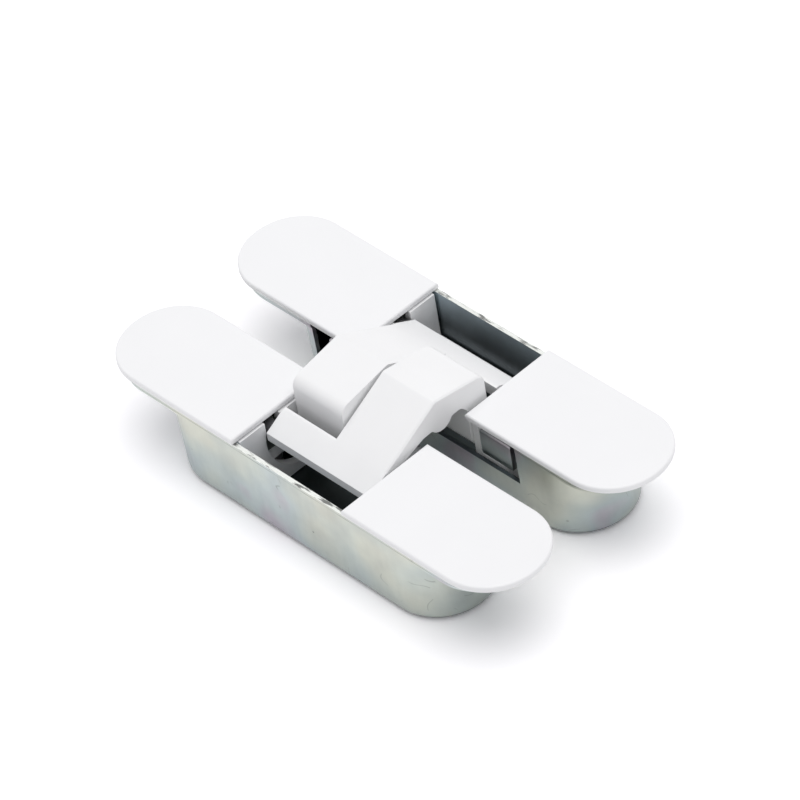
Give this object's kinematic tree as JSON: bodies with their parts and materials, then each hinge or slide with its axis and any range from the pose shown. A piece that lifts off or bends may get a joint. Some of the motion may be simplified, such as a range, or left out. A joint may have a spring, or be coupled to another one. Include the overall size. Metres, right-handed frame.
{
  "type": "concealed door hinge",
  "caption": "Concealed invisible door hinge opened flat: two round-ended steel cups with white clip-on covers, joined by two crossing white L-shaped arms.",
  "frame": {"origin": "under the middle between the two halves, level with the cups' bottoms", "axes": "+X along the hinge's length, which is upright on a hung door; +Y from the frame half to the door half, opened flat; +Z out of the cups through the covers' faces"},
  "size_m": [0.12, 0.0608, 0.0291],
  "materials": {
    "white_casting": "satin",
    "white_cover": "satin",
    "zinc_steel": "satin",
    "bright_steel": "satin",
    "dark_screw": "satin",
    "bush_plastic": "matte"
  },
  "bodies": {
    "frame_half": {"frame_cup": "zinc_steel", "frame_cover_left": "white_cover", "frame_cover_right": "white_cover", "frame_clamp_post_left": "bright_steel", "frame_clamp_post_right": "bright_steel"},
    "frame_carriage_body": {"frame_carriage": "white_casting", "frame_pivot_pin": "bright_steel", "frame_clamp_block_left": "zinc_steel", "frame_clamp_block_right": "zinc_steel"},
    "frame_arm_body": {"frame_arm": "white_casting", "frame_arm_bush": "bush_plastic", "frame_arm_slide_pin": "bright_steel", "frame_arm_slide_sleeve_left": "bush_plastic", "frame_arm_slide_sleeve_right": "bush_plastic", "centre_pin": "bright_steel", "centre_washer": "bush_plastic"},
    "frame_screw_left": {"frame_clamp_screw_left": "dark_screw"},
    "frame_screw_right": {"frame_clamp_screw_right": "dark_screw"},
    "door_half": {"door_cup": "zinc_steel", "door_cover_left": "white_cover", "door_cover_right": "white_cover", "door_clamp_post_left": "bright_steel", "door_clamp_post_right": "bright_steel"},
    "door_carriage_body": {"door_carriage": "white_casting", "door_pivot_pin": "bright_steel", "door_clamp_block_left": "zinc_steel", "door_clamp_block_right": "zinc_steel"},
    "door_arm_body": {"door_arm": "white_casting", "door_arm_bush": "bush_plastic", "door_arm_slide_pin": "bright_steel", "door_arm_slide_sleeve_left": "bush_plastic", "door_arm_slide_sleeve_right": "bush_plastic"},
    "door_screw_left": {"door_clamp_screw_left": "dark_screw"},
    "door_screw_right": {"door_clamp_screw_right": "dark_screw"}
  },
  "joints": [
    {"name": "frame_height_slide", "type": "slide", "parent": "frame_half", "child": "frame_carriage_body", "axis": [1, 0, 0], "range_m": [-0.0008, 0.0008]},
    {"name": "frame_fold", "type": "hinge", "parent": "frame_carriage_body", "child": "frame_arm_body", "pos_m": [0, -0.0102, 0.012], "axis": [1, 0, 0], "range_deg": [0, 83.27]},
    {"name": "centre_fold", "type": "hinge", "parent": "frame_arm_body", "child": "door_arm_body", "pos_m": [0, 0, 0.0237], "axis": [1, 0, 0], "range_deg": [0, 13.45]},
    {"name": "door_fold", "type": "hinge", "parent": "door_arm_body", "child": "door_carriage_body", "pos_m": [0, 0.0102, 0.012], "axis": [1, 0, 0], "range_deg": [0, 83.28]},
    {"name": "door_height_slide", "type": "slide", "parent": "door_carriage_body", "child": "door_half", "axis": [1, 0, 0], "range_m": [-0.0008, 0.0008]},
    {"name": "frame_screw_left_turn", "type": "hinge", "parent": "frame_half", "child": "frame_screw_left", "pos_m": [-0.0226, -0.0179, 0.0165], "axis": [0, 0, 1], "range_deg": [0, 360]},
    {"name": "frame_screw_right_turn", "type": "hinge", "parent": "frame_half", "child": "frame_screw_right", "pos_m": [0.0226, -0.0179, 0.0165], "axis": [0, 0, 1], "range_deg": [0, 360]},
    {"name": "door_screw_left_turn", "type": "hinge", "parent": "door_half", "child": "door_screw_left", "pos_m": [0.0226, 0.0179, 0.0165], "axis": [0, 0, 1], "range_deg": [0, 360]},
    {"name": "door_screw_right_turn", "type": "hinge", "parent": "door_half", "child": "door_screw_right", "pos_m": [-0.0226, 0.0179, 0.0165], "axis": [0, 0, 1], "range_deg": [0, 360]}
  ],
  "couplings": [
    {"joint": "centre_fold", "follows": "frame_fold", "ratio": 0.16152},
    {"joint": "door_fold", "follows": "frame_fold", "ratio": 1}
  ]
}
